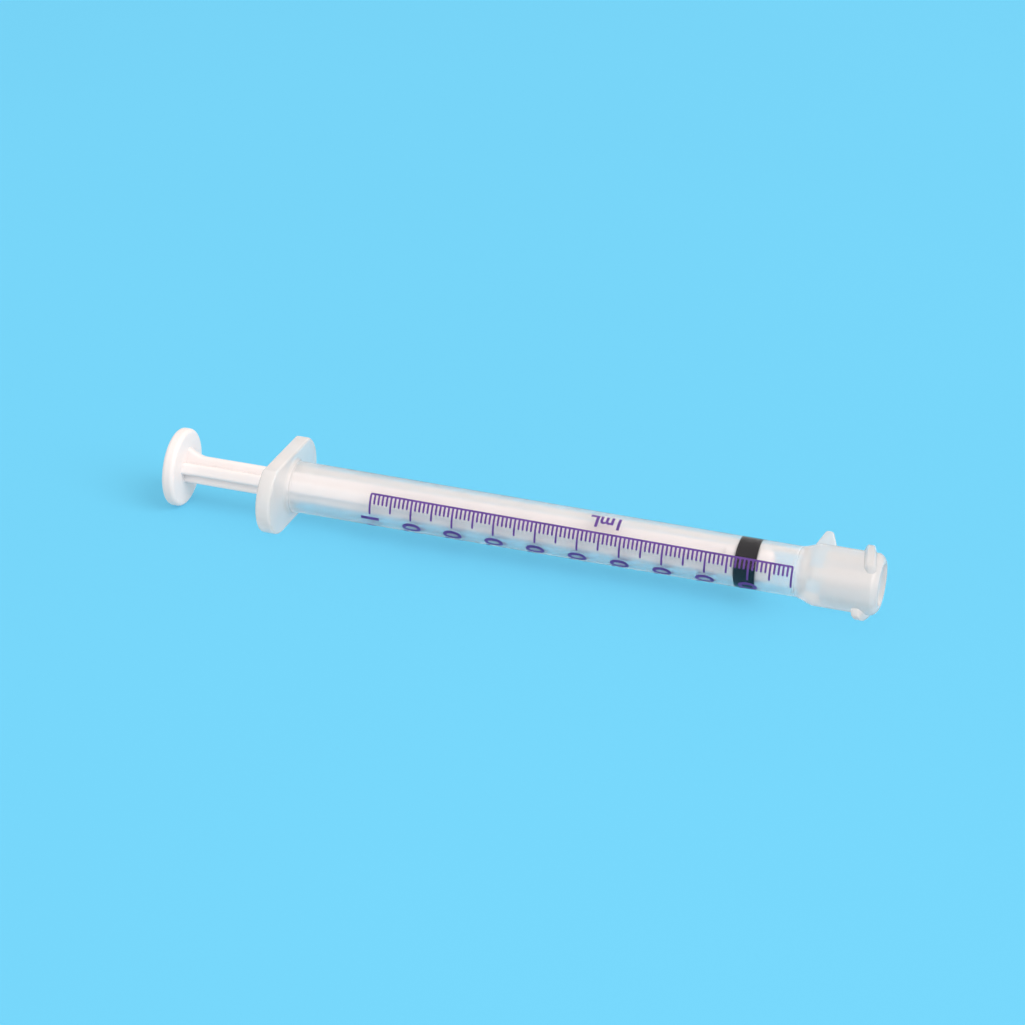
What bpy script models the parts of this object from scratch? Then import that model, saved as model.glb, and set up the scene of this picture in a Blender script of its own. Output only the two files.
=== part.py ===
"""Oral syringe for doses up to 1 mL, lying on its side.

Three real pieces: the moulded barrel with its finger flange and connector, the plunger rod, and
the rubber seal on the rod's front end. Lengths in the constants are millimetres; the mesh is in
metres. Stations along the axis are counted from the zero mark of the scale, positive towards the
connector. In the finished frame +X runs along the axis towards the connector, +Z is up, and the
origin lies on the surface under the middle of the syringe.
"""
import math

import bmesh
import bpy
from mathutils import Matrix, Vector

MM = 0.001

# Scale and bore: one millilitre fills the scale's length, which sets the bore.
SCALE_LENGTH = 57.6
MILLILITRE = 1000.0
BORE_R = math.sqrt(MILLILITRE / (math.pi * SCALE_LENGTH))
REST_DOSE = 0.085           # millilitres in front of the seal at rest

# Clearances between pieces that touch on the real syringe.
SEAL_RUNNING_GAP = 0.10
SEATED_GAP = 0.30

# Barrel tube.
TUBE_R_AT_FULL = 3.47       # outer radius at the 1 mL mark
TUBE_R_AT_ZERO = 3.36       # outer radius at the zero mark
FLANGE_FILLET = 0.60
BORE_ENTRY_CHAMFER = 0.40
BEAD_STATION = -66.4        # low bead that keeps the seal in
BEAD_HEIGHT = 0.14
BEAD_HALF_WIDTH = 0.50

# Finger flange.
FLANGE_FRONT = -69.75
FLANGE_THICKNESS = 2.1
FLANGE_HALF_LENGTH = 9.0
FLANGE_END_R = 5.15         # the lower flat is tangent to the round ends
FLANGE_TOP = 4.6            # the upper flat cuts them
FLANGE_CORNER_R = 1.0
FLANGE_EDGE_R = 0.25

# Flared neck and connector collar.
FLARE_START = 0.3
FLARE_END = 3.0
COLLAR_R = 4.1
COLLAR_FRONT = 11.3
COLLAR_EDGE = 0.95
COLLAR_EDGE_POWER = 1.3     # 1 is a round edge, 2 a straight chamfer
SOCKET_FLOOR = 3.8
SOCKET_FLOOR_R = 2.55
SOCKET_MOUTH_R = 2.75
SOCKET_ENTRY = 0.12
TIP_FRONT = 10.0
TIP_ROOT_R = 1.45
TIP_FRONT_R = 1.35
TIP_EDGE = 0.20
LUMEN_R = 0.60

# Front end of the bore, rounded to take the plunger's nose.
BORE_STRAIGHT_END = 1.1
BORE_END_R = 1.15

# Thread lugs: two helical ribs on opposite sides of the collar.
LUG_R = 4.95
LUG_ROOT_HALF = 1.15
LUG_CREST_HALF = 0.50
LUG_MID_STATION = 9.35
LUG_MID_ANGLE = 84.0
LUG_SPAN = 112.0
LUG_RAMP = 16.0
LUG_END_TAPER = 0.6         # a lug's width at its ends, as a share of its full width
LUG_SINK = 0.4              # how deep a lug is rooted in the collar
LUG_LEAD = 5.0
LUG_STEPS = 14

# Triangular fin behind the collar.
FIN_ANGLE = 52.0
FIN_THICKNESS = 0.9
FIN_TIP_R = 5.90
FIN_BACK = 1.3
FIN_TIP_BACK = 3.15
FIN_TIP_FRONT = 3.43
FIN_TIP_CORNER_R = 0.52
FIN_FRONT = 4.45
FIN_EDGE_R = 0.20

# Plunger rod.
THUMB_R = 5.35
THUMB_FRONT = -85.2
THUMB_THICKNESS = 1.75
THUMB_EDGE_R = 0.60
STEM_R = 1.925
RIB_THICKNESS = 1.6
RIB_FLARE_LENGTH = 2.4
RIB_FLARE_HEIGHT = 0.9
CORE_R = 0.75
PUSH_DISC_R = 2.05
PUSH_DISC_LENGTH = 1.3
NECK_R = 0.95
NOSE_R = 2.1
NOSE_REACH = 1.93           # how far the nose stands in front of the seal
NOSE_EDGE_R = 0.8
ROD_ROLL = 70.0             # the rod turns freely; this is how it lies

# Seal.
SEAL_LENGTH = 3.1
SEAL_LIP_LENGTH = 1.3
SEAL_LIP_EDGE = 0.18
SEAL_GROOVE_DEPTH = 0.35

# Facets round each turned shape.
BARREL_SEGMENTS = 48
ROD_SEGMENTS = 48
SMOOTH_ANGLE = math.radians(35.0)

# Derived stations.
FLANGE_REAR = FLANGE_FRONT - FLANGE_THICKNESS
THUMB_REAR = THUMB_FRONT - THUMB_THICKNESS
SEAL_FRONT = -REST_DOSE * SCALE_LENGTH
SEAL_REAR = SEAL_FRONT - SEAL_LENGTH
PUSH_DISC_FRONT = SEAL_REAR - SEATED_GAP
PUSH_DISC_REAR = PUSH_DISC_FRONT - PUSH_DISC_LENGTH
NOSE_REAR = SEAL_FRONT + SEATED_GAP
NOSE_FRONT = SEAL_FRONT + NOSE_REACH
MIDDLE_STATION = (THUMB_REAR + COLLAR_FRONT) / 2
AXIS_HEIGHT = THUMB_R

OVERCUT = 1.0               # how far a cutter reaches past the face that it opens

COLOURS = {
    "barrel": ((0.78, 0.84, 0.87), 0.30),
    "plunger_rod": ((0.93, 0.90, 0.88), 0.38),
    "seal": ((0.015, 0.017, 0.030), 0.45),
}


def clear_scene():
    for obj in list(bpy.data.objects):
        bpy.data.objects.remove(obj, do_unlink=True)


def material(name):
    colour, roughness = COLOURS[name]
    mat = bpy.data.materials.new(name + "_material")
    mat.use_nodes = True
    shader = mat.node_tree.nodes["Principled BSDF"]
    shader.inputs["Base Color"].default_value = (*colour, 1.0)
    shader.inputs["Roughness"].default_value = roughness
    shader.inputs["Metallic"].default_value = 0.0
    return mat


def mesh_object(name, bm):
    """Turn a bmesh in millimetres into a smooth object in metres."""
    bmesh.ops.scale(bm, vec=Vector((MM, MM, MM)), verts=bm.verts)
    bmesh.ops.recalc_face_normals(bm, faces=bm.faces)
    mesh = bpy.data.meshes.new(name)
    bm.to_mesh(mesh)
    bm.free()
    mesh.shade_smooth()
    mesh.set_sharp_from_angle(angle=SMOOTH_ANGLE)
    obj = bpy.data.objects.new(name, mesh)
    bpy.context.collection.objects.link(obj)
    return obj


def turned(name, profile, segments, closed):
    """Spin a profile of (station, radius) points about the axis.

    A closed profile makes a ring. An open one starts and ends on the axis and makes a solid.
    """
    bm = bmesh.new()
    verts = [bm.verts.new((x, 0.0, r)) for x, r in profile]
    edges = [bm.edges.new(pair) for pair in zip(verts, verts[1:])]
    if closed:
        edges.append(bm.edges.new((verts[-1], verts[0])))
    bmesh.ops.spin(bm, geom=verts + edges, cent=(0, 0, 0), axis=(1, 0, 0),
                   angle=math.tau, steps=segments, use_merge=True)
    bmesh.ops.remove_doubles(bm, verts=bm.verts, dist=0.0005)
    return mesh_object(name, bm)


def extruded(name, outline, thickness):
    """Extrude an outline in the XZ plane symmetrically about Y = 0."""
    bm = bmesh.new()
    verts = [bm.verts.new((x, -thickness / 2, z)) for x, z in outline]
    face = bm.faces.new(verts)
    sides = bmesh.ops.extrude_face_region(bm, geom=[face])
    moved = [item for item in sides["geom"] if isinstance(item, bmesh.types.BMVert)]
    bmesh.ops.translate(bm, vec=(0, thickness, 0), verts=moved)
    return mesh_object(name, bm)


def arc(centre, radius, start, end, steps):
    """Points on an arc, both ends included, angles in degrees."""
    angles = (math.radians(start + (end - start) * i / steps) for i in range(steps + 1))
    return [(centre[0] + radius * math.cos(a), centre[1] + radius * math.sin(a)) for a in angles]


def smooth_step(t):
    return t * t * (3 - 2 * t)


def tube_radius(station):
    """Outer radius of the tube, which carries a slight draft."""
    slope = (TUBE_R_AT_ZERO - TUBE_R_AT_FULL) / SCALE_LENGTH
    return TUBE_R_AT_ZERO + slope * station


def boolean(obj, operand, operation):
    """Combine another object into this one and keep the operand as a hidden guide."""
    operand.hide_render = True
    operand.display_type = "WIRE"
    modifier = obj.modifiers.new(operand.name, "BOOLEAN")
    modifier.operation = operation
    modifier.solver = "EXACT"
    modifier.object = operand


def turn_about_axis(obj, degrees):
    """Apply a turn about the syringe's axis to the object's mesh."""
    obj.data.transform(Matrix.Rotation(math.radians(degrees), 4, "X"))


# Barrel ------------------------------------------------------------------------------------------

def barrel_outside():
    """The barrel's outer skin as one turned solid, from the flange's rear to the collar's rim."""
    fillet_centre = (FLANGE_FRONT + FLANGE_FILLET, tube_radius(FLANGE_FRONT) + FLANGE_FILLET)
    profile = [(FLANGE_REAR, 0.0), (FLANGE_REAR, fillet_centre[1])]
    profile += arc(fillet_centre, FLANGE_FILLET, 180, 270, 4)
    profile.append((FLARE_START, tube_radius(FLARE_START)))
    flare_steps = 6
    for i in range(1, flare_steps + 1):
        t = i / flare_steps
        station = FLARE_START + t * (FLARE_END - FLARE_START)
        radius = tube_radius(FLARE_START) + smooth_step(t) * (COLLAR_R - tube_radius(FLARE_START))
        profile.append((station, radius))
    edge_steps = 5
    for i in range(edge_steps + 1):
        a = math.pi / 2 * i / edge_steps
        forward, outward = math.sin(a) ** COLLAR_EDGE_POWER, math.cos(a) ** COLLAR_EDGE_POWER
        profile.append((COLLAR_FRONT - COLLAR_EDGE * (1 - forward),
                        COLLAR_R - COLLAR_EDGE * (1 - outward)))
    profile.append((COLLAR_FRONT, 0.0))
    return turned("barrel", profile, BARREL_SEGMENTS, closed=False)


def finger_flange():
    """A plate with two parallel flats and two round ends, its edges rounded."""
    end_centre = FLANGE_HALF_LENGTH - FLANGE_END_R
    corner_height = FLANGE_TOP - FLANGE_CORNER_R
    corner_reach = FLANGE_END_R - FLANGE_CORNER_R
    corner_angle = math.degrees(math.asin(corner_height / corner_reach))
    corner_centre = end_centre + math.sqrt(corner_reach ** 2 - corner_height ** 2)
    half = arc((corner_centre, corner_height), FLANGE_CORNER_R, 90, corner_angle, 3)
    half += arc((end_centre, 0), FLANGE_END_R, corner_angle, -90, 12)[1:]
    outline = half + [(-x, z) for x, z in reversed(half)]
    flange = extruded("flange_plate", outline, FLANGE_THICKNESS)
    flange.data.transform(Matrix.Rotation(math.radians(90), 4, "Z"))
    flange.data.transform(Matrix.Translation(((FLANGE_FRONT + FLANGE_REAR) / 2 * MM, 0, 0)))
    bevel = flange.modifiers.new("edge", "BEVEL")
    bevel.width = FLANGE_EDGE_R * MM
    bevel.segments = 2
    bevel.limit_method = "ANGLE"
    bevel.angle_limit = math.radians(60)
    return flange


def thread_lug(name, turn):
    """One helical rib with a flat crest; it narrows and ramps into the collar at both ends."""
    bm = bmesh.new()
    root_r = COLLAR_R - LUG_SINK
    end_r = COLLAR_R - LUG_SINK / 4
    rings = []
    for i in range(LUG_STEPS + 1):
        offset = (i / LUG_STEPS - 0.5) * LUG_SPAN
        from_end = LUG_SPAN / 2 - abs(offset)
        rise = smooth_step(min(1.0, from_end / LUG_RAMP))
        crest_r = end_r + rise * (LUG_R - end_r)
        width = LUG_END_TAPER + rise * (1 - LUG_END_TAPER)
        root, crest = LUG_ROOT_HALF * width, LUG_CREST_HALF * width
        station = LUG_MID_STATION + LUG_LEAD * offset / 360.0
        angle = math.radians(LUG_MID_ANGLE + turn + offset)
        section = [(station - root, root_r), (station + root, root_r),
                   (station + crest, crest_r), (station - crest, crest_r)]
        rings.append([bm.verts.new((x, r * math.cos(angle), r * math.sin(angle)))
                      for x, r in section])
    for ring, following in zip(rings, rings[1:]):
        for k in range(4):
            j = (k + 1) % 4
            bm.faces.new((ring[k], ring[j], following[j], following[k]))
    bm.faces.new(rings[0])
    bm.faces.new(rings[-1])
    return mesh_object(name, bm)


def connector_fin():
    """A thin triangular fin, long slope towards the barrel and a steep front."""
    root_r = TUBE_R_AT_ZERO - 0.5
    corner_r = FIN_TIP_R - FIN_TIP_CORNER_R
    outline = [(FIN_BACK, root_r), (FIN_FRONT, root_r), (FIN_FRONT, COLLAR_R + 0.2)]
    outline += arc((FIN_TIP_FRONT, corner_r), FIN_TIP_CORNER_R, 15, 90, 3)
    outline += arc((FIN_TIP_BACK, corner_r), FIN_TIP_CORNER_R, 90, 145, 3)
    fin = extruded("fin_plate", outline, FIN_THICKNESS)
    bevel = fin.modifiers.new("edge", "BEVEL")
    bevel.width = FIN_EDGE_R * MM
    bevel.segments = 1
    bevel.limit_method = "ANGLE"
    bevel.angle_limit = math.radians(60)
    turn_about_axis(fin, FIN_ANGLE - 90)
    return fin


def bore_cutter():
    """The fluid path: entry chamfer, retaining bead, bore with its rounded end, and lumen."""
    profile = [(FLANGE_REAR - OVERCUT, 0.0),
               (FLANGE_REAR - OVERCUT, BORE_R + BORE_ENTRY_CHAMFER),
               (FLANGE_REAR, BORE_R + BORE_ENTRY_CHAMFER),
               (FLANGE_REAR + BORE_ENTRY_CHAMFER, BORE_R),
               (BEAD_STATION - BEAD_HALF_WIDTH, BORE_R),
               (BEAD_STATION, BORE_R - BEAD_HEIGHT),
               (BEAD_STATION + BEAD_HALF_WIDTH, BORE_R)]
    profile += arc((BORE_STRAIGHT_END, BORE_R - BORE_END_R), BORE_END_R, 90, 0, 6)
    profile += [(BORE_STRAIGHT_END + BORE_END_R, LUMEN_R),
                (COLLAR_FRONT + OVERCUT, LUMEN_R),
                (COLLAR_FRONT + OVERCUT, 0.0)]
    return turned("bore_cutter", profile, BARREL_SEGMENTS, closed=False)


def socket_cutter():
    """The ring-shaped socket between the collar and the fluid tip, open at the front."""
    profile = [(SOCKET_FLOOR, TIP_ROOT_R),
               (SOCKET_FLOOR, SOCKET_FLOOR_R),
               (COLLAR_FRONT - SOCKET_ENTRY, SOCKET_MOUTH_R),
               (COLLAR_FRONT, SOCKET_MOUTH_R + SOCKET_ENTRY),
               (COLLAR_FRONT + OVERCUT, SOCKET_MOUTH_R + SOCKET_ENTRY),
               (COLLAR_FRONT + OVERCUT, LUMEN_R / 2),
               (TIP_FRONT, LUMEN_R / 2),
               (TIP_FRONT, TIP_FRONT_R - TIP_EDGE),
               (TIP_FRONT - TIP_EDGE, TIP_FRONT_R)]
    return turned("socket_cutter", profile, BARREL_SEGMENTS, closed=True)


def make_barrel():
    barrel = barrel_outside()
    boolean(barrel, finger_flange(), "UNION")
    boolean(barrel, connector_fin(), "UNION")
    boolean(barrel, thread_lug("lug_upper", 0.0), "UNION")
    boolean(barrel, thread_lug("lug_lower", 180.0), "UNION")
    boolean(barrel, bore_cutter(), "DIFFERENCE")
    boolean(barrel, socket_cutter(), "DIFFERENCE")
    return barrel


# Plunger rod -------------------------------------------------------------------------------------

def rod_core():
    """Thumb rest, core, push disc, neck and round-edged nose as one turned solid."""
    rear_edge = (THUMB_REAR + THUMB_EDGE_R, THUMB_R - THUMB_EDGE_R)
    front_edge = (THUMB_FRONT - THUMB_EDGE_R, THUMB_R - THUMB_EDGE_R)
    profile = [(THUMB_REAR, 0.0)]
    profile += arc(rear_edge, THUMB_EDGE_R, 180, 90, 4)
    profile += arc(front_edge, THUMB_EDGE_R, 90, 0, 4)
    profile += [(THUMB_FRONT, CORE_R),
                (PUSH_DISC_REAR, CORE_R),
                (PUSH_DISC_REAR, PUSH_DISC_R),
                (PUSH_DISC_FRONT, PUSH_DISC_R),
                (PUSH_DISC_FRONT, NECK_R),
                (NOSE_REAR, NECK_R),
                (NOSE_REAR, NOSE_R)]
    profile += arc((NOSE_FRONT - NOSE_EDGE_R, NOSE_R - NOSE_EDGE_R), NOSE_EDGE_R, 90, 0, 5)
    profile.append((NOSE_FRONT, 0.0))
    return turned("plunger_rod", profile, ROD_SEGMENTS, closed=False)


def stem_rib(name, turn, flare):
    """A full-width plate along the stem, flared on one side where it meets the thumb rest."""
    rear = THUMB_FRONT - THUMB_THICKNESS / 2
    front = PUSH_DISC_REAR + PUSH_DISC_LENGTH / 2
    outline = [(rear, -STEM_R), (rear, STEM_R + flare), (THUMB_FRONT, STEM_R + flare),
               (THUMB_FRONT + RIB_FLARE_LENGTH, STEM_R), (front, STEM_R), (front, -STEM_R)]
    rib = extruded(name, outline, RIB_THICKNESS)
    turn_about_axis(rib, turn)
    return rib


def make_rod():
    rod = rod_core()
    boolean(rod, stem_rib("rib_upright", ROD_ROLL - 90, RIB_FLARE_HEIGHT), "UNION")
    boolean(rod, stem_rib("rib_level", ROD_ROLL, RIB_FLARE_HEIGHT / 2), "UNION")
    return rod


# Seal --------------------------------------------------------------------------------------------

def make_seal():
    """A rubber ring with a sealing lip at each end and a groove between the lips."""
    lip_r = BORE_R - SEAL_RUNNING_GAP
    groove_r = lip_r - SEAL_GROOVE_DEPTH
    hole_r = NECK_R + SEATED_GAP
    edge = SEAL_LIP_EDGE
    profile = [(SEAL_REAR, hole_r)]
    profile += arc((SEAL_REAR + edge, lip_r - edge), edge, 180, 90, 3)
    profile += arc((SEAL_REAR + SEAL_LIP_LENGTH - edge, lip_r - edge), edge, 90, 0, 3)
    profile.append((SEAL_REAR + SEAL_LIP_LENGTH, groove_r))
    profile.append((SEAL_FRONT - SEAL_LIP_LENGTH, groove_r))
    profile += arc((SEAL_FRONT - SEAL_LIP_LENGTH + edge, lip_r - edge), edge, 180, 90, 3)
    profile += arc((SEAL_FRONT - edge, lip_r - edge), edge, 90, 0, 3)
    profile.append((SEAL_FRONT, hole_r))
    return turned("seal", profile, ROD_SEGMENTS, closed=True)


def place_on_axis(obj, axis):
    """Hang the piece on the syringe's axis, so that its origin lies on the joints' axis."""
    obj.parent = axis
    for modifier in obj.modifiers:
        modifier.object.parent = axis


def main():
    clear_scene()
    axis = bpy.data.objects.new("syringe_axis", None)
    axis.location = (-MIDDLE_STATION * MM, 0, AXIS_HEIGHT * MM)
    bpy.context.collection.objects.link(axis)
    for piece in (make_barrel(), make_rod(), make_seal()):
        piece.data.materials.append(material(piece.name))
        place_on_axis(piece, axis)


main()
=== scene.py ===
"""Looks of a 1 mL oral syringe lying on its side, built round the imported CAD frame.

Stations are millimetres from the zero mark of the scale, positive towards the connector. Angles are
degrees round the syringe's axis, from +Y towards +Z. The three mouldings are made again with finer
detail, each in the place of its CAD node, and the printed scale is a thin skin on the tube.
"""
import math

import bmesh
import bpy
from mathutils import Matrix, Vector


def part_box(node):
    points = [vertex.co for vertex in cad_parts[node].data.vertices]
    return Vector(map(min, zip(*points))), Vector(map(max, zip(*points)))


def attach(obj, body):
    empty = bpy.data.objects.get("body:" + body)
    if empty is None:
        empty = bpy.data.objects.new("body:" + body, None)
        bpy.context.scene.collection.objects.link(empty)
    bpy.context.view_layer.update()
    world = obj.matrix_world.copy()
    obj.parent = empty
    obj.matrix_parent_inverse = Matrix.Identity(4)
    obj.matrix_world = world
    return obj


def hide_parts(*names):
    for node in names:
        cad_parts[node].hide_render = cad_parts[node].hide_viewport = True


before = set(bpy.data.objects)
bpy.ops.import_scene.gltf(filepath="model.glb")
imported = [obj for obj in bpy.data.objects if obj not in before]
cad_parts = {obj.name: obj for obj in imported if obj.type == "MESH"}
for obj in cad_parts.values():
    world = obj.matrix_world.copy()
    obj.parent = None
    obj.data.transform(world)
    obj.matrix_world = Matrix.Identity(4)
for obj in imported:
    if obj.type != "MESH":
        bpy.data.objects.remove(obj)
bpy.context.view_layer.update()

MM = 0.001

# Barrel, in millimetres.
SCALE_LENGTH = 57.6
BORE_R = math.sqrt(1000.0 / (math.pi * SCALE_LENGTH))
TUBE_R_AT_FULL = 3.47
TUBE_R_AT_ZERO = 3.36
FLANGE_THICKNESS = 2.1
FLANGE_FILLET = 0.60
FLANGE_HALF_LENGTH = 9.0
FLANGE_END_R = 5.15         # the lower flat is tangent to the round ends
FLANGE_TOP = 4.6            # the upper flat cuts them
FLANGE_CORNER_R = 1.0
FLANGE_EDGE_R = 0.30
BORE_ENTRY_CHAMFER = 0.40
BEAD_STATION = -66.4
BEAD_HEIGHT = 0.05          # softer than the solid's, so that the clear wall shows no hard line
BEAD_HALF_WIDTH = 0.90
BORE_STRAIGHT_END = 1.1
BORE_END_R = 1.15
LUMEN_R = 0.60
FLARE_START = 0.3
FLARE_END = 3.0
COLLAR_R = 4.1
COLLAR_REACH = 11.3
COLLAR_EDGE = 0.95
COLLAR_EDGE_POWER = 1.3
SOCKET_FLOOR = 3.8
SOCKET_FLOOR_R = 2.55
SOCKET_MOUTH_R = 2.75
SOCKET_ENTRY = 0.12
TIP_FRONT = 10.0
TIP_ROOT_R = 1.45
TIP_FRONT_R = 1.35
TIP_EDGE = 0.20
LUG_R = 4.95
LUG_ROOT_HALF = 1.15
LUG_CREST_HALF = 0.50
LUG_MID_STATION = 9.35
LUG_MID_ANGLE = 84.0
LUG_SPAN = 112.0
LUG_RAMP = 16.0
LUG_END_TAPER = 0.6
LUG_SINK = 0.4              # how deep the root is set into the collar
LUG_SHOULDER = 0.12         # share of the flank by which the crest starts to fall early
LUG_LEAD = 5.0
FIN_ANGLE = 52.0
FIN_SINK = 0.5              # how deep the fin's root is set into the tube
FIN_FOOT = 0.2              # upright part of its front above the collar
FIN_THICKNESS = 0.9
FIN_TIP_R = 5.90
FIN_BACK = 1.3
FIN_TIP_BACK = 3.15
FIN_TIP_FRONT = 3.43
FIN_TIP_CORNER_R = 0.52
FIN_FRONT = 4.45
FIN_EDGE_R = 0.20

# Plunger rod and seal.
THUMB_THICKNESS = 1.75
THUMB_EDGE_R = 0.60
STEM_R = 1.925
RIB_THICKNESS = 1.6
RIB_EDGE_R = 0.40
DISC_EDGE_R = 0.12
RIB_FLARE_LENGTH = 2.4
RIB_FLARE_HEIGHT = 0.9
RIB_FLARE_POWER = 1.6
CORE_R = 0.75
PUSH_DISC_R = 2.05
PUSH_DISC_LENGTH = 1.3
NECK_R = 0.95
NOSE_R = 2.1
NOSE_REACH = 1.93
NOSE_EDGE_R = 0.8
ROD_ROLL = 70.0
SEAL_SQUEEZE = 0.01         # how far the rubber presses into the bore, so that no air shows
SEAL_GROOVE_WIDTH = 0.3
SEAL_FRONT_EDGE = 0.10
SEAL_REAR_EDGE = 0.22
SEAL_GROOVE_DEPTH = 0.006   # less than the squeeze: the rubber touches the wall all along
SEAL_CLEARANCE = 0.02       # to the rod, which turns inside the seal

# Print.
LINE_WIDTH = 0.27
TICKS = 100
LINE_CORNER = 0.12
TICK_SHORT = 1.42
TICK_HALF = 2.40
TICK_LONG = 2.93
BASELINE_AT_FULL = 142.4
BASELINE_AT_ZERO = 146.9
INK_LIFT = 0.006
INK_THICKNESS = 0.012
TICK_ROUND_STEPS = (30, 60, 80)     # degrees, where the round end of a tick has its points
WRAP_STEP = 0.22            # the flat artwork is cut this often before it is wrapped
CUT_TOLERANCE = 0.00005
LETTER_MERGE = 0.012        # corners of an outline closer than this become one
LETTER_CURVE_STEPS = 6
NUMERAL_SIZE = 3.45
NUMERAL_WEIGHT = 0.09
NUMERAL_GAP = 0.40
UNIT_SIZE = 2.2
UNIT_WEIGHT = 0.06
UNIT_OFFSET = 2.0           # from the start of the numerals, round the tube
CAPACITY_SIZE = 2.6
CAPACITY_WEIGHT = 0.07
CAPACITY_STATION = -25.6
CAPACITY_ANGLE = 115.7

# Facets round each turned shape.
SEGMENTS = 128
WELD = 0.0005
SMOOTH_ANGLE = math.radians(32.0)
OVERCUT = 1.0               # how far a cutter stands out of what it cuts

# Places taken from the frame.
barrel_low, barrel_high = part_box("barrel")
rod_low, rod_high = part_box("plunger_rod")
seal_low, seal_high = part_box("seal")
ZERO_X = barrel_high.x - COLLAR_REACH * MM
AXIS_Z = (rod_low.z + rod_high.z) / 2


def station(x):
    """A place along X in the frame as millimetres from the zero mark."""
    return (x - ZERO_X) / MM


FLANGE_REAR = station(barrel_low.x)
FLANGE_FRONT = FLANGE_REAR + FLANGE_THICKNESS
THUMB_REAR = station(rod_low.x)
THUMB_FRONT = THUMB_REAR + THUMB_THICKNESS
THUMB_R = (rod_high.z - rod_low.z) / 2 / MM
SEAL_REAR = station(seal_low.x)
SEAL_FRONT = station(seal_high.x)
NOSE_FRONT = SEAL_FRONT + NOSE_REACH


# Mesh tools --------------------------------------------------------------------------------------

def finish_mesh(name, bm):
    """Turn a bmesh in millimetres round the axis into a smooth object in the frame."""
    place = Matrix.Translation((ZERO_X, 0, AXIS_Z)) @ Matrix.Scale(MM, 4)
    bmesh.ops.transform(bm, matrix=place, verts=bm.verts)
    bmesh.ops.recalc_face_normals(bm, faces=bm.faces)
    mesh = bpy.data.meshes.new(name)
    bm.to_mesh(mesh)
    bm.free()
    smooth(mesh)
    obj = bpy.data.objects.new(name, mesh)
    bpy.context.collection.objects.link(obj)
    return obj


def smooth(mesh):
    """Smooth shading, with the true corners kept sharp."""
    mesh.shade_smooth()
    mesh.set_sharp_from_angle(angle=SMOOTH_ANGLE)


def turned(name, profile, closed):
    """Spin a profile of (station, radius) points about the axis."""
    bm = bmesh.new()
    verts = [bm.verts.new((x, 0.0, r)) for x, r in profile]
    edges = [bm.edges.new(pair) for pair in zip(verts, verts[1:])]
    if closed:
        edges.append(bm.edges.new((verts[-1], verts[0])))
    bmesh.ops.spin(bm, geom=verts + edges, cent=(0, 0, 0), axis=(1, 0, 0),
                   angle=math.tau, steps=SEGMENTS, use_merge=True)
    bmesh.ops.remove_doubles(bm, verts=bm.verts, dist=WELD)
    return finish_mesh(name, bm)


def extruded_bmesh(outline, thickness):
    """Extrude an outline in the XZ plane symmetrically about Y = 0."""
    bm = bmesh.new()
    verts = [bm.verts.new((x, -thickness / 2, z)) for x, z in outline]
    face = bm.faces.new(verts)
    sides = bmesh.ops.extrude_face_region(bm, geom=[face])
    moved = [item for item in sides["geom"] if isinstance(item, bmesh.types.BMVert)]
    bmesh.ops.translate(bm, vec=(0, thickness, 0), verts=moved)
    bmesh.ops.recalc_face_normals(bm, faces=bm.faces)
    return bm


def round_edges(bm, radius, segments, least_angle=60.0):
    """Bevel the edges that turn by more than least_angle."""
    limit = math.radians(least_angle)
    sharp = [e for e in bm.edges if len(e.link_faces) == 2 and e.calc_face_angle() > limit]
    bmesh.ops.bevel(bm, geom=sharp, offset=radius, segments=segments, profile=0.5,
                    affect="EDGES", clamp_overlap=True)


def arc(centre, radius, start, end, steps):
    """Points on an arc, both ends included, angles in degrees."""
    angles = (math.radians(start + (end - start) * i / steps) for i in range(steps + 1))
    return [(centre[0] + radius * math.cos(a), centre[1] + radius * math.sin(a)) for a in angles]


def smooth_step(t):
    """0 to 1 with a level start and end."""
    return t * t * (3 - 2 * t)


def tube_radius(at):
    """Outer radius of the tube, which carries a slight draft."""
    return TUBE_R_AT_ZERO + (TUBE_R_AT_ZERO - TUBE_R_AT_FULL) / SCALE_LENGTH * at


def combine(obj, operand, operation):
    """Apply a Boolean to the object's mesh and remove the operand."""
    modifier = obj.modifiers.new("combine", "BOOLEAN")
    modifier.operation = operation
    modifier.solver = "EXACT"
    modifier.object = operand
    depsgraph = bpy.context.evaluated_depsgraph_get()
    result = bpy.data.meshes.new_from_object(obj.evaluated_get(depsgraph))
    obj.modifiers.clear()
    old = obj.data
    result.name = old.name
    obj.data = result
    bpy.data.meshes.remove(old)
    bpy.data.objects.remove(operand, do_unlink=True)


# Barrel ------------------------------------------------------------------------------------------

def outside_profile():
    """The barrel's outer skin, from the flange's rear to the edge of the collar's rim."""
    fillet_centre = (FLANGE_FRONT + FLANGE_FILLET, tube_radius(FLANGE_FRONT) + FLANGE_FILLET)
    profile = [(FLANGE_REAR, fillet_centre[1])]
    profile += arc(fillet_centre, FLANGE_FILLET, 180, 270, 8)
    profile.append((FLARE_START, tube_radius(FLARE_START)))
    flare_steps = 16
    for i in range(1, flare_steps + 1):
        t = i / flare_steps
        at = FLARE_START + t * (FLARE_END - FLARE_START)
        radius = tube_radius(FLARE_START) + smooth_step(t) * (COLLAR_R - tube_radius(FLARE_START))
        profile.append((at, radius))
    edge_steps = 12
    for i in range(edge_steps + 1):
        a = math.pi / 2 * i / edge_steps
        forward, outward = math.sin(a) ** COLLAR_EDGE_POWER, math.cos(a) ** COLLAR_EDGE_POWER
        profile.append((COLLAR_REACH - COLLAR_EDGE * (1 - forward),
                        COLLAR_R - COLLAR_EDGE * (1 - outward)))
    return profile


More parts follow.
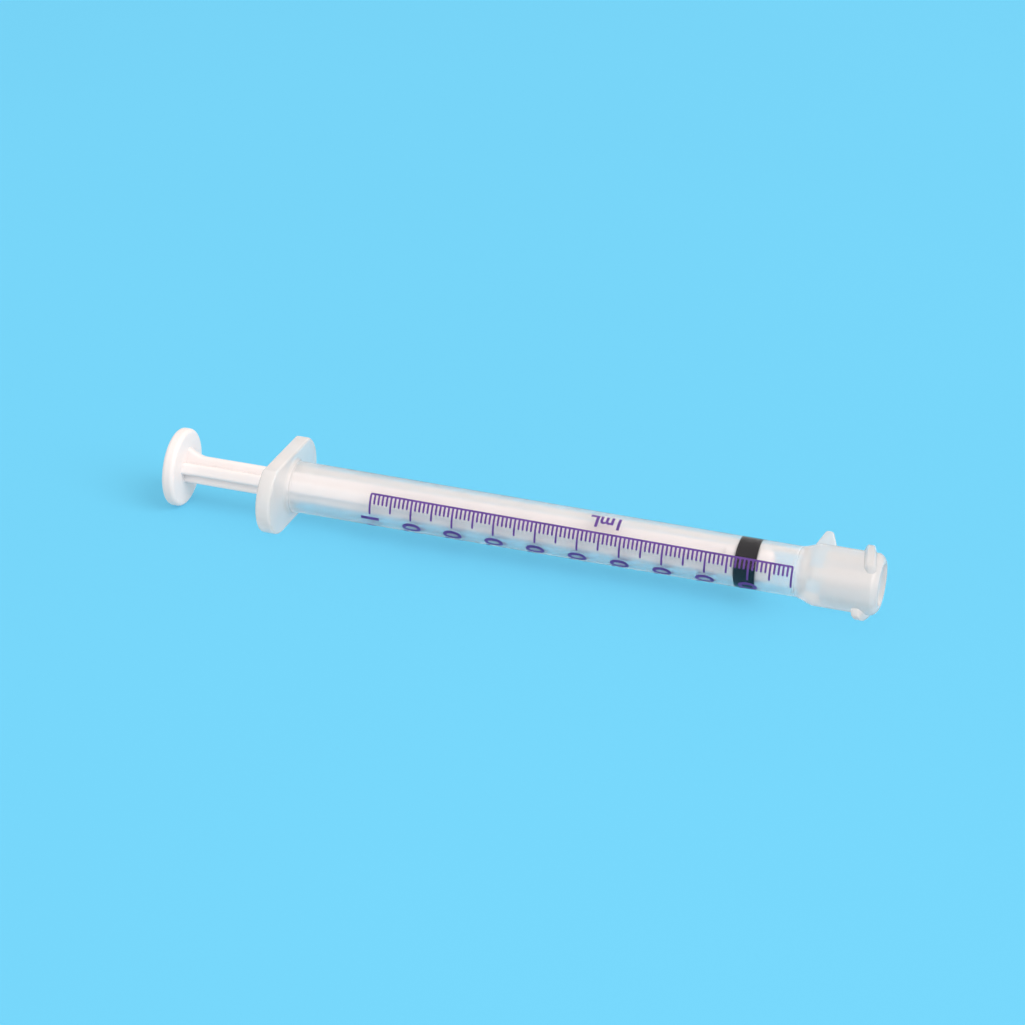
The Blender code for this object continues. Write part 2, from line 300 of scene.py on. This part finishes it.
def socket_profile():
    """From the collar's rim into the ring-shaped socket, and out again over the fluid tip."""
    profile = [(COLLAR_REACH, SOCKET_MOUTH_R + SOCKET_ENTRY),
               (COLLAR_REACH - SOCKET_ENTRY, SOCKET_MOUTH_R),
               (SOCKET_FLOOR, SOCKET_FLOOR_R),
               (SOCKET_FLOOR, TIP_ROOT_R)]
    profile += arc((TIP_FRONT - TIP_EDGE, TIP_FRONT_R - TIP_EDGE), TIP_EDGE, 90, 0, 5)
    return profile


def bore_profile():
    """From the fluid tip's mouth back through the lumen and the bore to the flange's rear."""
    profile = [(TIP_FRONT, LUMEN_R), (BORE_STRAIGHT_END + BORE_END_R, LUMEN_R)]
    profile += arc((BORE_STRAIGHT_END, BORE_R - BORE_END_R), BORE_END_R, 0, 90, 12)
    bead_steps = 8
    for i in range(bead_steps + 1):
        t = 1 - 2 * i / bead_steps
        lift = BEAD_HEIGHT * (0.5 + 0.5 * math.cos(math.pi * t))
        profile.append((BEAD_STATION + t * BEAD_HALF_WIDTH, BORE_R - lift))
    profile += [(FLANGE_REAR + BORE_ENTRY_CHAMFER, BORE_R),
                (FLANGE_REAR, BORE_R + BORE_ENTRY_CHAMFER)]
    return profile


def barrel_core():
    """Outer skin, socket, fluid tip and bore as one closed profile, turned about the axis."""
    profile = outside_profile() + socket_profile() + bore_profile()
    return turned("barrel_shell", profile, closed=True)


def flange_hole():
    """A plug that opens the flange plate, so that the plate meets the core inside the wall."""
    hole_r = (BORE_R + BORE_ENTRY_CHAMFER + tube_radius(FLANGE_FRONT)) / 2
    profile = [(FLANGE_REAR - OVERCUT, 0.0), (FLANGE_REAR - OVERCUT, hole_r),
               (FLANGE_FRONT + OVERCUT, hole_r), (FLANGE_FRONT + OVERCUT, 0.0)]
    return turned("flange_hole", profile, closed=False)


def finger_flange():
    """A plate with two parallel flats and two round ends, its edges rounded."""
    end_centre = FLANGE_HALF_LENGTH - FLANGE_END_R
    corner_height = FLANGE_TOP - FLANGE_CORNER_R
    corner_reach = FLANGE_END_R - FLANGE_CORNER_R
    corner_angle = math.degrees(math.asin(corner_height / corner_reach))
    corner_centre = end_centre + math.sqrt(corner_reach ** 2 - corner_height ** 2)
    half = arc((corner_centre, corner_height), FLANGE_CORNER_R, 90, corner_angle, 6)
    half += arc((end_centre, 0), FLANGE_END_R, corner_angle, -90, 32)[1:]
    outline = half + [(-x, z) for x, z in reversed(half)]
    bm = extruded_bmesh(outline, FLANGE_THICKNESS)
    round_edges(bm, FLANGE_EDGE_R, 4)
    turn = Matrix.Rotation(math.radians(90), 4, "Z")
    middle = Matrix.Translation(((FLANGE_FRONT + FLANGE_REAR) / 2, 0, 0))
    bmesh.ops.transform(bm, matrix=middle @ turn, verts=bm.verts)
    return finish_mesh("flange_plate", bm)


def thread_lug(turn):
    """One helical rib with a rounded crest; it narrows and ramps into the collar at both ends."""
    bm = bmesh.new()
    root_r = COLLAR_R - LUG_SINK
    end_r = COLLAR_R - LUG_SINK / 4
    steps, section_steps = 56, 12
    rings = []
    for i in range(steps + 1):
        offset = (i / steps - 0.5) * LUG_SPAN
        from_end = LUG_SPAN / 2 - abs(offset)
        rise = smooth_step(min(1.0, from_end / LUG_RAMP))
        crest_r = end_r + rise * (LUG_R - end_r)
        width = LUG_END_TAPER + rise * (1 - LUG_END_TAPER)
        middle = LUG_MID_STATION + LUG_LEAD * offset / 360.0
        angle = math.radians(LUG_MID_ANGLE + turn + offset)
        ring = []
        for k in range(section_steps + 1):
            across = 2 * k / section_steps - 1
            flank = (abs(across) * LUG_ROOT_HALF - LUG_CREST_HALF) / (LUG_ROOT_HALF - LUG_CREST_HALF)
            drop = smooth_step(min(1.0, max(0.0, flank + LUG_SHOULDER)))
            r = crest_r + (root_r - crest_r) * drop
            ring.append(bm.verts.new((middle + across * LUG_ROOT_HALF * width,
                                      r * math.cos(angle), r * math.sin(angle))))
        rings.append(ring)
    for ring, following in zip(rings, rings[1:]):
        for k in range(section_steps + 1):
            j = (k + 1) % (section_steps + 1)
            bm.faces.new((ring[k], ring[j], following[j], following[k]))
    bm.faces.new(rings[0])
    bm.faces.new(rings[-1])
    return finish_mesh("lug", bm)


def connector_fin():
    """A thin triangular fin, long slope towards the barrel and a steep front."""
    root_r = TUBE_R_AT_ZERO - FIN_SINK
    corner_r = FIN_TIP_R - FIN_TIP_CORNER_R
    outline = [(FIN_BACK, root_r), (FIN_FRONT, root_r), (FIN_FRONT, COLLAR_R + FIN_FOOT)]
    outline += arc((FIN_TIP_FRONT, corner_r), FIN_TIP_CORNER_R, 15, 90, 6)
    outline += arc((FIN_TIP_BACK, corner_r), FIN_TIP_CORNER_R, 90, 145, 6)
    bm = extruded_bmesh(outline, FIN_THICKNESS)
    round_edges(bm, FIN_EDGE_R, 3)
    turn = Matrix.Rotation(math.radians(FIN_ANGLE - 90), 4, "X")
    bmesh.ops.transform(bm, matrix=turn, verts=bm.verts)
    return finish_mesh("fin", bm)


def make_barrel():
    """The turned shell with its flange plate, fin and two thread lugs, as one solid."""
    barrel = barrel_core()
    plate = finger_flange()
    combine(plate, flange_hole(), "DIFFERENCE")
    combine(barrel, plate, "UNION")
    combine(barrel, connector_fin(), "UNION")
    combine(barrel, thread_lug(0.0), "UNION")
    combine(barrel, thread_lug(180.0), "UNION")
    smooth(barrel.data)
    return barrel


# Plunger rod and seal ----------------------------------------------------------------------------

def rod_core():
    """Thumb rest, core, push disc, neck and round-edged nose as one turned solid."""
    disc_rear = SEAL_REAR - PUSH_DISC_LENGTH
    rear_edge = (THUMB_REAR + THUMB_EDGE_R, THUMB_R - THUMB_EDGE_R)
    front_edge = (THUMB_FRONT - THUMB_EDGE_R, THUMB_R - THUMB_EDGE_R)
    profile = [(THUMB_REAR, 0.0)]
    profile += arc(rear_edge, THUMB_EDGE_R, 180, 90, 10)
    profile += arc(front_edge, THUMB_EDGE_R, 90, 0, 10)
    profile += [(THUMB_FRONT, CORE_R), (disc_rear, CORE_R)]
    edge = DISC_EDGE_R
    profile += arc((disc_rear + edge, PUSH_DISC_R - edge), edge, 180, 90, 4)
    profile += [(SEAL_REAR, PUSH_DISC_R), (SEAL_REAR, NECK_R), (SEAL_FRONT, NECK_R),
                (SEAL_FRONT, NOSE_R)]
    profile += arc((NOSE_FRONT - NOSE_EDGE_R, NOSE_R - NOSE_EDGE_R), NOSE_EDGE_R, 90, 0, 12)
    profile.append((NOSE_FRONT, 0.0))
    return turned("plunger", profile, closed=False)


def stem_rib(turn, flare):
    """A full-width plate along the stem, flared on one side where it meets the thumb rest."""
    rear = THUMB_FRONT - THUMB_THICKNESS / 2
    front = SEAL_REAR - PUSH_DISC_LENGTH / 2
    outline = [(rear, -STEM_R), (rear, STEM_R + flare), (THUMB_FRONT, STEM_R + flare)]
    flare_steps = 8
    for i in range(1, flare_steps + 1):
        t = i / flare_steps
        outline.append((THUMB_FRONT + t * RIB_FLARE_LENGTH, STEM_R + flare * (1 - t) ** RIB_FLARE_POWER))
    outline += [(front, STEM_R), (front, -STEM_R)]
    bm = extruded_bmesh(outline, RIB_THICKNESS)
    long_edges = [e for e in bm.edges if abs(e.verts[0].co.y - e.verts[1].co.y) < 1e-6
                  and abs(e.verts[0].co.x - e.verts[1].co.x) > 1e-3]
    bmesh.ops.bevel(bm, geom=long_edges, offset=RIB_EDGE_R, segments=6, profile=0.5,
                    affect="EDGES", clamp_overlap=True)
    bmesh.ops.transform(bm, matrix=Matrix.Rotation(math.radians(turn), 4, "X"), verts=bm.verts)
    return finish_mesh("rib", bm)


def make_plunger():
    """The turned core with two crossed plates, as one solid."""
    rod = rod_core()
    combine(rod, stem_rib(ROD_ROLL - 90, RIB_FLARE_HEIGHT), "UNION")
    combine(rod, stem_rib(ROD_ROLL, RIB_FLARE_HEIGHT / 2), "UNION")
    smooth(rod.data)
    return rod


def make_seal():
    """A rubber ring that fills the bore, with a faint groove between its two lips."""
    lip_r = BORE_R + SEAL_SQUEEZE
    hole_r = NECK_R + SEAL_CLEARANCE
    rear, front = SEAL_REAR + SEAL_CLEARANCE, SEAL_FRONT - SEAL_CLEARANCE
    groove_r = lip_r - SEAL_GROOVE_DEPTH
    groove_rear = (rear + front - SEAL_GROOVE_WIDTH) / 2
    groove_front = groove_rear + SEAL_GROOVE_WIDTH
    profile = [(rear, hole_r)]
    profile += arc((rear + SEAL_REAR_EDGE, lip_r - SEAL_REAR_EDGE), SEAL_REAR_EDGE, 180, 90, 8)
    profile += [(groove_rear, lip_r), (groove_rear, groove_r)]
    profile += [(groove_front, groove_r), (groove_front, lip_r)]
    profile += arc((front - SEAL_FRONT_EDGE, lip_r - SEAL_FRONT_EDGE), SEAL_FRONT_EDGE, 90, 0, 6)
    profile.append((front, hole_r))
    return turned("seal_ring", profile, closed=True)


# Print -------------------------------------------------------------------------------------------

def baseline_angle(at):
    """Angle of the scale's baseline, which drifts slightly along the tube."""
    return BASELINE_AT_ZERO + (BASELINE_AT_ZERO - BASELINE_AT_FULL) / SCALE_LENGTH * at


def wrap_point(at, along, lift):
    """A point of the flat artwork: station and distance round the tube from the baseline."""
    r = tube_radius(at) + INK_LIFT + lift
    angle = math.radians(baseline_angle(at)) + along / tube_radius(at)
    return Vector((at, r * math.cos(angle), r * math.sin(angle)))


def fans_round(v):
    """The faces round a vertex, in groups that share edges at it."""
    left = list(v.link_faces)
    fans = []
    while left:
        fan = [left.pop(0)]
        for face in fan:
            spokes = [e for e in face.edges if v in e.verts]
            fan += [f for f in left if any(f in e.link_faces for e in spokes)]
            left = [f for f in left if f not in fan]
        fans.append(fan)
    return fans


def part_at_points(bm):
    """Split vertices where two patches meet only at a point, so that the walls stay closed."""
    for v in list(bm.verts):
        for fan in fans_round(v)[1:]:
            twin = bm.verts.new(v.co)
            for face in fan:
                bm.faces.new([twin if w is v else w for w in face.verts])
            bmesh.ops.delete(bm, geom=fan, context="FACES")


def ink(name, bm):
    """Wrap flat artwork (x is the station, y the distance round) and give it a thickness."""
    part_at_points(bm)
    flat = [(v, v.co.copy()) for v in bm.verts]
    lower = {v: bm.verts.new(wrap_point(co.x, co.y, 0.0)) for v, co in flat}
    open_edges = [tuple(e.verts) for e in bm.edges if len(e.link_faces) == 1]
    faces = list(bm.faces)
    for face in faces:
        bm.faces.new([lower[v] for v in reversed(face.verts)])
    for a, b in open_edges:
        bm.faces.new((a, b, lower[b], lower[a]))
    for v, co in flat:
        v.co = wrap_point(co.x, co.y, INK_THICKNESS)
    return finish_mesh(name, bm)


def tick_length(i):
    """Long at every tenth mark, middling at every fifth."""
    if i % 10 == 0:
        return TICK_LONG
    if i % 5 == 0:
        return TICK_HALF
    return TICK_SHORT


def make_scale():
    """The baseline with its hundred and one ticks, as one comb with round tick ends."""
    bm = bmesh.new()
    half = LINE_WIDTH / 2
    pitch = SCALE_LENGTH / TICKS
    columns = []
    for i in range(TICKS + 1):
        x = -pitch * i
        columns += [(x + half, i), (x - half, None)]
    top = [bm.verts.new((x, -half, 0)) for x, _ in columns]
    top[0].co.x -= LINE_CORNER
    top[-1].co.x += LINE_CORNER
    bottom = [bm.verts.new((x, half, 0)) for x, _ in columns]
    for k in range(len(columns) - 1):
        bm.faces.new((top[k], top[k + 1], bottom[k + 1], bottom[k]))
    for k, (x, i) in enumerate(columns):
        if i is None:
            continue
        add_tick(bm, -pitch * i, half, tick_length(i), bottom[k], bottom[k + 1])
    return ink("scale_marks", bm)


def add_tick(bm, x, half, length, right, left):
    """Faces of one tick, from its corners on the baseline to its round end."""
    straight = length - half
    rows = max(2, round((straight - half) / WRAP_STEP))
    ends = [(half + (straight - half) * j / rows, half) for j in range(1, rows + 1)]
    ends += [(straight + half * math.sin(math.radians(a)), half * math.cos(math.radians(a)))
             for a in TICK_ROUND_STEPS]
    for along, reach in ends:
        new_right = bm.verts.new((x + reach, along, 0))
        new_left = bm.verts.new((x - reach, along, 0))
        bm.faces.new((right, left, new_left, new_right))
        right, left = new_right, new_left


def lettering(text, size, weight):
    """Flat letters as a triangulated bmesh: x is the reading direction, y is up."""
    curve = bpy.data.curves.new("lettering", "FONT")
    curve.body = text
    curve.size = size
    curve.offset = weight
    curve.resolution_u = LETTER_CURVE_STEPS
    holder = bpy.data.objects.new("lettering", curve)
    bpy.context.collection.objects.link(holder)
    bpy.context.view_layer.update()
    depsgraph = bpy.context.evaluated_depsgraph_get()
    mesh = bpy.data.meshes.new_from_object(holder.evaluated_get(depsgraph))
    bm = bmesh.new()
    bm.from_mesh(mesh)
    bpy.data.objects.remove(holder, do_unlink=True)
    bpy.data.curves.remove(curve)
    bpy.data.meshes.remove(mesh)
    bmesh.ops.remove_doubles(bm, verts=bm.verts, dist=LETTER_MERGE)
    return bm


def extent(bm):
    """Lowest and highest x, then lowest and highest y."""
    xs = [v.co.x for v in bm.verts]
    ys = [v.co.y for v in bm.verts]
    return min(xs), max(xs), min(ys), max(ys)


def cut_for_wrap(bm):
    """Cut flat artwork into strips round the tube, so that it bends smoothly."""
    low, high = extent(bm)[2:]
    count = int((high - low) / WRAP_STEP)
    for i in range(1, count + 1):
        geom = bm.verts[:] + bm.edges[:] + bm.faces[:]
        bmesh.ops.bisect_plane(bm, geom=geom, plane_co=(0, low + i * WRAP_STEP, 0),
                               plane_no=(0, 1, 0), dist=CUT_TOLERANCE)


def make_numeral(name, text, at, start, size, weight):
    """A number that reads round the tube, its top towards the connector, centred on a tick."""
    bm = lettering(text, size, weight)
    left, _, low, high = extent(bm)
    for v in bm.verts:
        v.co = Vector((at + v.co.y - (low + high) / 2, start + v.co.x - left, 0))
    cut_for_wrap(bm)
    return ink(name, bm)


def make_capacity():
    """The capacity, reading along the tube from the connector's side."""
    bm = lettering("1mL", CAPACITY_SIZE, CAPACITY_WEIGHT)
    left, right, low, high = extent(bm)
    turn = math.radians(CAPACITY_ANGLE - baseline_angle(CAPACITY_STATION))
    along = turn * tube_radius(CAPACITY_STATION)
    for v in bm.verts:
        v.co = Vector((CAPACITY_STATION - v.co.x + (left + right) / 2,
                       along + v.co.y - (low + high) / 2, 0))
    cut_for_wrap(bm)
    return ink("capacity_text", bm)


def make_print():
    """The scale, its numbers, the unit under the last of them, and the capacity."""
    pieces = [make_scale(), make_capacity()]
    start = TICK_LONG + NUMERAL_GAP
    for tenth in range(1, 11):
        at = -SCALE_LENGTH * tenth / 10
        text = "1" if tenth == 10 else f"0.{tenth}"
        pieces.append(make_numeral(f"numeral_{tenth:02d}", text, at, start,
                                   NUMERAL_SIZE, NUMERAL_WEIGHT))
    pieces.append(make_numeral("unit_text", "mL", -SCALE_LENGTH, start + UNIT_OFFSET,
                               UNIT_SIZE, UNIT_WEIGHT))
    return pieces


# Materials ---------------------------------------------------------------------------------------

class Nodes:
    """Short calls for building one material's node tree."""

    def __init__(self, name):
        self.material = bpy.data.materials.new(name)
        self.material.use_nodes = True
        self.tree = self.material.node_tree
        self.shader = self.tree.nodes["Principled BSDF"]
        texture_coordinates = self.tree.nodes.new("ShaderNodeTexCoord")
        self.coordinates = texture_coordinates.outputs["Object"]
        self.normals = texture_coordinates.outputs["Normal"]

    def new(self, kind, **values):
        node = self.tree.nodes.new("ShaderNode" + kind)
        for key, value in values.items():
            node.inputs[key.replace("_", " ")].default_value = value
        return node

    def link(self, source, target):
        self.tree.links.new(source, target)

    def noise(self, scale, detail=3.0, stretch=(1, 1, 1)):
        """Noise in object space; a stretch under 1 draws it out along that axis."""
        mapping = self.new("Mapping", Scale=stretch)
        self.link(self.coordinates, mapping.inputs["Vector"])
        noise = self.new("TexNoise", Scale=scale, Detail=detail)
        self.link(mapping.outputs["Vector"], noise.inputs["Vector"])
        return noise.outputs["Fac"]

    def between(self, source, low, high):
        """Map 0.3 to 0.7 of the source, where noise mostly lies, onto low to high."""
        ranged = self.new("MapRange", From_Min=0.3, From_Max=0.7, To_Min=low, To_Max=high)
        self.link(source, ranged.inputs["Value"])
        return ranged.outputs["Result"]

    def ramp(self, source, first, second):
        """A colour between first and second, by noise."""
        ramp = self.new("ValToRGB")
        ramp.color_ramp.elements[0].position = 0.3
        ramp.color_ramp.elements[0].color = (*first, 1)
        ramp.color_ramp.elements[1].position = 0.7
        ramp.color_ramp.elements[1].color = (*second, 1)
        self.link(source, ramp.inputs["Fac"])
        return ramp.outputs["Color"]

    def colours(self, source, first, second):
        """The base colour varies between first and second, by noise."""
        self.link(self.ramp(source, first, second), self.shader.inputs["Base Color"])

    def mix_colours(self, factor, first, second):
        mix = self.tree.nodes.new("ShaderNodeMix")
        mix.data_type = "RGBA"
        mix.clamp_factor = True
        self.link(factor, mix.inputs["Factor"])
        colour_sockets = [i for i in mix.inputs if i.type == "RGBA"]
        self.link(first, colour_sockets[0])
        self.link(second, colour_sockets[1])
        return next(o for o in mix.outputs if o.type == "RGBA")

    def bump(self, source, distance, strength=1.0, onto=None):
        """Surface relief of that many metres, on top of another bump if one is given."""
        bump = self.new("Bump", Strength=strength, Distance=distance)
        self.link(source, bump.inputs["Height"])
        if onto is not None:
            self.link(onto, bump.inputs["Normal"])
        self.link(bump.outputs["Normal"], self.shader.inputs["Normal"])
        return bump.outputs["Normal"]

    def station_ramp(self, start, end, low, high):
        """A value that goes from low to high between two stations along the axis."""
        split = self.new("SeparateXYZ")
        self.link(self.coordinates, split.inputs["Vector"])
        ranged = self.new("MapRange", From_Min=ZERO_X + start * MM, From_Max=ZERO_X + end * MM,
                          To_Min=low, To_Max=high)
        ranged.interpolation_type = "SMOOTHSTEP"
        self.link(split.outputs["X"], ranged.inputs["Value"])
        return ranged.outputs["Result"]

    def from_axis(self, start, end, low, high):
        """A value that goes from low to high between two distances from the axis."""
        offset = self.new("Mapping", Location=(0, 0, -AXIS_Z), Scale=(0, 1, 1))
        self.link(self.coordinates, offset.inputs["Vector"])
        length = self.tree.nodes.new("ShaderNodeVectorMath")
        length.operation = "LENGTH"
        self.link(offset.outputs["Vector"], length.inputs[0])
        ranged = self.new("MapRange", From_Min=start * MM, From_Max=end * MM,
                          To_Min=low, To_Max=high)
        self.link(length.outputs["Value"], ranged.inputs["Value"])
        return ranged.outputs["Result"]

    def facing_along_axis(self, sides, faces):
        """One value on surfaces that face along the axis, another on those that face sideways."""
        normal = self.new("SeparateXYZ")
        self.link(self.normals, normal.inputs["Vector"])
        along = self.math("ABSOLUTE", normal.outputs["X"], 0.0)
        ranged = self.new("MapRange", From_Min=0.3, From_Max=0.9, To_Min=sides, To_Max=faces)
        self.link(along, ranged.inputs["Value"])
        return ranged.outputs["Result"]

    def let_lamps_through(self, tint):
        """Light reaches what is inside a clear wall, as it does through real thin plastic."""
        passing = self.new("BsdfTransparent", Color=(*tint, 1))
        path = self.new("LightPath")
        lit = self.math("MAXIMUM", path.outputs["Is Shadow Ray"], path.outputs["Is Diffuse Ray"])
        mix = self.new("MixShader")
        self.link(lit, mix.inputs[0])
        self.link(self.shader.outputs["BSDF"], mix.inputs[1])
        self.link(passing.outputs["BSDF"], mix.inputs[2])
        output = self.tree.nodes["Material Output"]
        self.link(mix.outputs["Shader"], output.inputs["Surface"])

    def math(self, operation, a, b):
        node = self.new("Math")
        node.operation = operation
        for socket, value in zip(node.inputs, (a, b)):
            if isinstance(value, (int, float)):
                socket.default_value = value
            else:
                self.link(value, socket)
        return node.outputs["Value"]


def clear_plastic():
    """Natural polypropylene: clear in the thin tube, milky where the moulding is thick.

    The haze sits on the bore's surface, so black rubber pressed against the wall stays black.
    """
    n = Nodes("clear_polypropylene")
    connector = n.station_ramp(-0.5, 1.7, 0.0, 0.45)
    flange = n.station_ramp(FLANGE_FRONT + 0.9, FLANGE_FRONT - 0.1, 0.0, 1.0)
    flange = n.math("MULTIPLY", flange, n.facing_along_axis(0.66, 0.48))
    thick = n.math("ADD", connector, flange)
    wall = n.from_axis(2.7, 3.1, 0.36, 0.0)
    haze = n.math("ADD", n.math("MAXIMUM", thick, wall), n.between(n.noise(160.0), 0.0, 0.012))
    n.link(n.math("SUBTRACT", 1.0, haze), n.shader.inputs["Transmission Weight"])
    clear = n.ramp(n.noise(90.0), (0.94, 0.94, 0.95), (0.97, 0.965, 0.97))
    milky = n.ramp(n.noise(120.0), (0.77, 0.76, 0.765), (0.81, 0.795, 0.795))
    depth = n.math("MAXIMUM", n.math("MULTIPLY", thick, 2.4), wall)
    n.link(n.mix_colours(depth, clear, milky), n.shader.inputs["Base Color"])
    n.shader.inputs["IOR"].default_value = 1.49
    n.link(n.between(n.noise(260.0), 0.14, 0.22), n.shader.inputs["Roughness"])
    n.shader.inputs["Subsurface Weight"].default_value = 0.6
    n.shader.inputs["Subsurface Radius"].default_value = (1.0, 1.0, 1.0)
    n.shader.inputs["Subsurface Scale"].default_value = 1.2 * MM
    flow = n.bump(n.noise(500.0, stretch=(0.06, 1, 1)), 0.006 * MM, 0.5)
    n.bump(n.noise(2500.0), 0.003 * MM, 0.5, onto=flow)
    n.let_lamps_through((0.98, 0.985, 0.99))
    return n.material


def white_plastic():
    """White polypropylene, satin, faintly mottled."""
    n = Nodes("white_polypropylene")
    n.colours(n.noise(220.0), (0.82, 0.785, 0.79), (0.85, 0.815, 0.82))
    n.shader.inputs["IOR"].default_value = 1.49
    n.shader.inputs["Subsurface Weight"].default_value = 0.35
    n.shader.inputs["Subsurface Radius"].default_value = (1.0, 0.9, 0.85)
    n.shader.inputs["Subsurface Scale"].default_value = 0.7 * MM
    n.link(n.between(n.noise(400.0), 0.34, 0.48), n.shader.inputs["Roughness"])
    coarse = n.bump(n.noise(700.0, stretch=(0.15, 1, 1)), 0.010 * MM, 0.5)
    n.bump(n.noise(4000.0), 0.004 * MM, 0.5, onto=coarse)
    return n.material


def rubber():
    """Black moulded rubber, satin."""
    n = Nodes("black_rubber")
    n.colours(n.noise(600.0), (0.003, 0.003, 0.006), (0.006, 0.006, 0.011))
    n.link(n.between(n.noise(900.0), 0.42, 0.60), n.shader.inputs["Roughness"])
    n.shader.inputs["Specular IOR Level"].default_value = 0.05
    n.bump(n.noise(5000.0), 0.006 * MM, 0.6)
    return n.material


def scale_ink():
    """Purple pad-printed ink, slightly uneven."""
    n = Nodes("scale_ink")
    n.colours(n.noise(900.0), (0.080, 0.028, 0.225), (0.125, 0.046, 0.30))
    n.link(n.between(n.noise(1500.0), 0.38, 0.55), n.shader.inputs["Roughness"])
    n.bump(n.noise(4000.0), 0.003 * MM, 0.6)
    return n.material


def backdrop():
    """Pale blue paper that throws a nearly neutral light onto the object, as a white room does.

    Part of its brightness is its own, so that shadows on it stay soft and pale.
    """
    n = Nodes("backdrop")
    paper = n.ramp(n.noise(6.0), (0.082, 0.365, 0.555), (0.085, 0.377, 0.572))
    bounce = n.ramp(n.noise(6.0), (0.395, 0.39, 0.375), (0.405, 0.40, 0.385))
    path = n.new("LightPath")
    n.link(n.mix_colours(path.outputs["Is Diffuse Ray"], paper, bounce),
           n.shader.inputs["Base Color"])
    n.shader.inputs["Emission Color"].default_value = (0.075, 0.25, 0.35, 1.0)
    n.shader.inputs["Emission Strength"].default_value = 1.0
    n.shader.inputs["Roughness"].default_value = 0.9
    n.shader.inputs["Specular IOR Level"].default_value = 0.1
    return n.material


# Stage -------------------------------------------------------------------------------------------

VIEW_AZIMUTH = 17.60        # degrees, before the syringe is rolled level
VIEW_ELEVATION = 32.148
VIEW_ROLL = 7.7             # how far the syringe is rolled to bring its flange flats level
VIEW_DISTANCE = 421.03
VIEW_AIM = (-38.675, 0.0, 1.612)
LENS = 111.52
SENSOR = 36.0
FLOOR_HALF_SIZE = 3.0       # metres, as the lamps' sizes and distances are
LAMP_DISTANCE = 2.4
KEY_SIZE = 2.0
FILL_SIZE = 2.4


def add_camera():
    """The camera circles the aim point on the axis, then rolls round the axis with the syringe."""
    azimuth, elevation = math.radians(VIEW_AZIMUTH), math.radians(VIEW_ELEVATION)
    back = Vector((math.sin(azimuth) * math.cos(elevation),
                   -math.cos(azimuth) * math.cos(elevation), math.sin(elevation)))
    right = Vector((math.cos(azimuth), math.sin(azimuth), 0.0))
    up = back.cross(right)
    turn = Matrix((right, up, back)).transposed().to_4x4()
    place = Matrix.Translation(Vector(VIEW_AIM) + VIEW_DISTANCE * back) @ turn
    roll = Matrix.Rotation(math.radians(VIEW_ROLL), 4, "X")
    view = roll @ place
    view.translation = view.translation * MM + Vector((ZERO_X, 0, AXIS_Z))
    camera = bpy.data.cameras.new("camera")
    camera.lens = LENS
    camera.sensor_width = SENSOR
    camera.clip_start = 0.01
    camera.clip_end = 20.0
    obj = bpy.data.objects.new("camera", camera)
    obj.matrix_world = view
    bpy.context.collection.objects.link(obj)
    bpy.context.scene.camera = obj


def add_floor():
    """A wide level sheet at the height of the row's origin."""
    bm = bmesh.new()
    bmesh.ops.create_grid(bm, x_segments=8, y_segments=8, size=FLOOR_HALF_SIZE)
    mesh = bpy.data.meshes.new("floor")
    bm.to_mesh(mesh)
    bm.free()
    floor = bpy.data.objects.new("floor", mesh)
    bpy.context.collection.objects.link(floor)
    mesh.materials.append(backdrop())


def area_light(name, direction, distance, size, irradiance, colour):
    """A disc that faces the syringe and gives it the irradiance, as a share of plain white."""
    light = bpy.data.lights.new(name, "AREA")
    light.shape = "DISK"
    light.size = size
    light.energy = irradiance * (math.pi * distance) ** 2
    light.color = colour
    obj = bpy.data.objects.new(name, light)
    obj.location = Vector(direction).normalized() * distance
    obj.rotation_euler = (-obj.location).to_track_quat("-Z", "Y").to_euler()
    bpy.context.collection.objects.link(obj)


def add_lights():
    """An even, slightly warm surround, a soft key from the connector's side and a weak fill."""
    world = bpy.data.worlds.new("studio")
    world.use_nodes = True
    background = world.node_tree.nodes["Background"]
    background.inputs["Color"].default_value = (1.0, 0.945, 0.90, 1.0)
    background.inputs["Strength"].default_value = 0.84
    bpy.context.scene.world = world
    area_light("key", (1.0, -0.5, 1.0), LAMP_DISTANCE, KEY_SIZE, 0.62, (1.0, 0.92, 0.87))
    area_light("fill", (-0.1, -1.0, 0.35), LAMP_DISTANCE, FILL_SIZE, 0.08, (1.0, 0.93, 0.90))
    bpy.context.scene.view_settings.view_transform = "Standard"


# The scene ---------------------------------------------------------------------------------------

def place(obj, body, slot, mat):
    """Give a piece its material and the body it rides; the slot argument is not used."""
    obj.data.materials.clear()
    obj.data.materials.append(mat)
    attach(obj, body)


def main():
    add_camera()
    add_floor()
    add_lights()
    barrel = make_barrel()
    place(barrel, "barrel", "barrel", clear_plastic())
    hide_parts("barrel")
    plunger = make_plunger()
    place(plunger, "plunger", "plunger", white_plastic())
    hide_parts("plunger_rod")
    seal = make_seal()
    place(seal, "seal", "seal", rubber())
    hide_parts("seal")
    ink_material = scale_ink()
    for piece in make_print():
        place(piece, "barrel", "print", ink_material)


main()
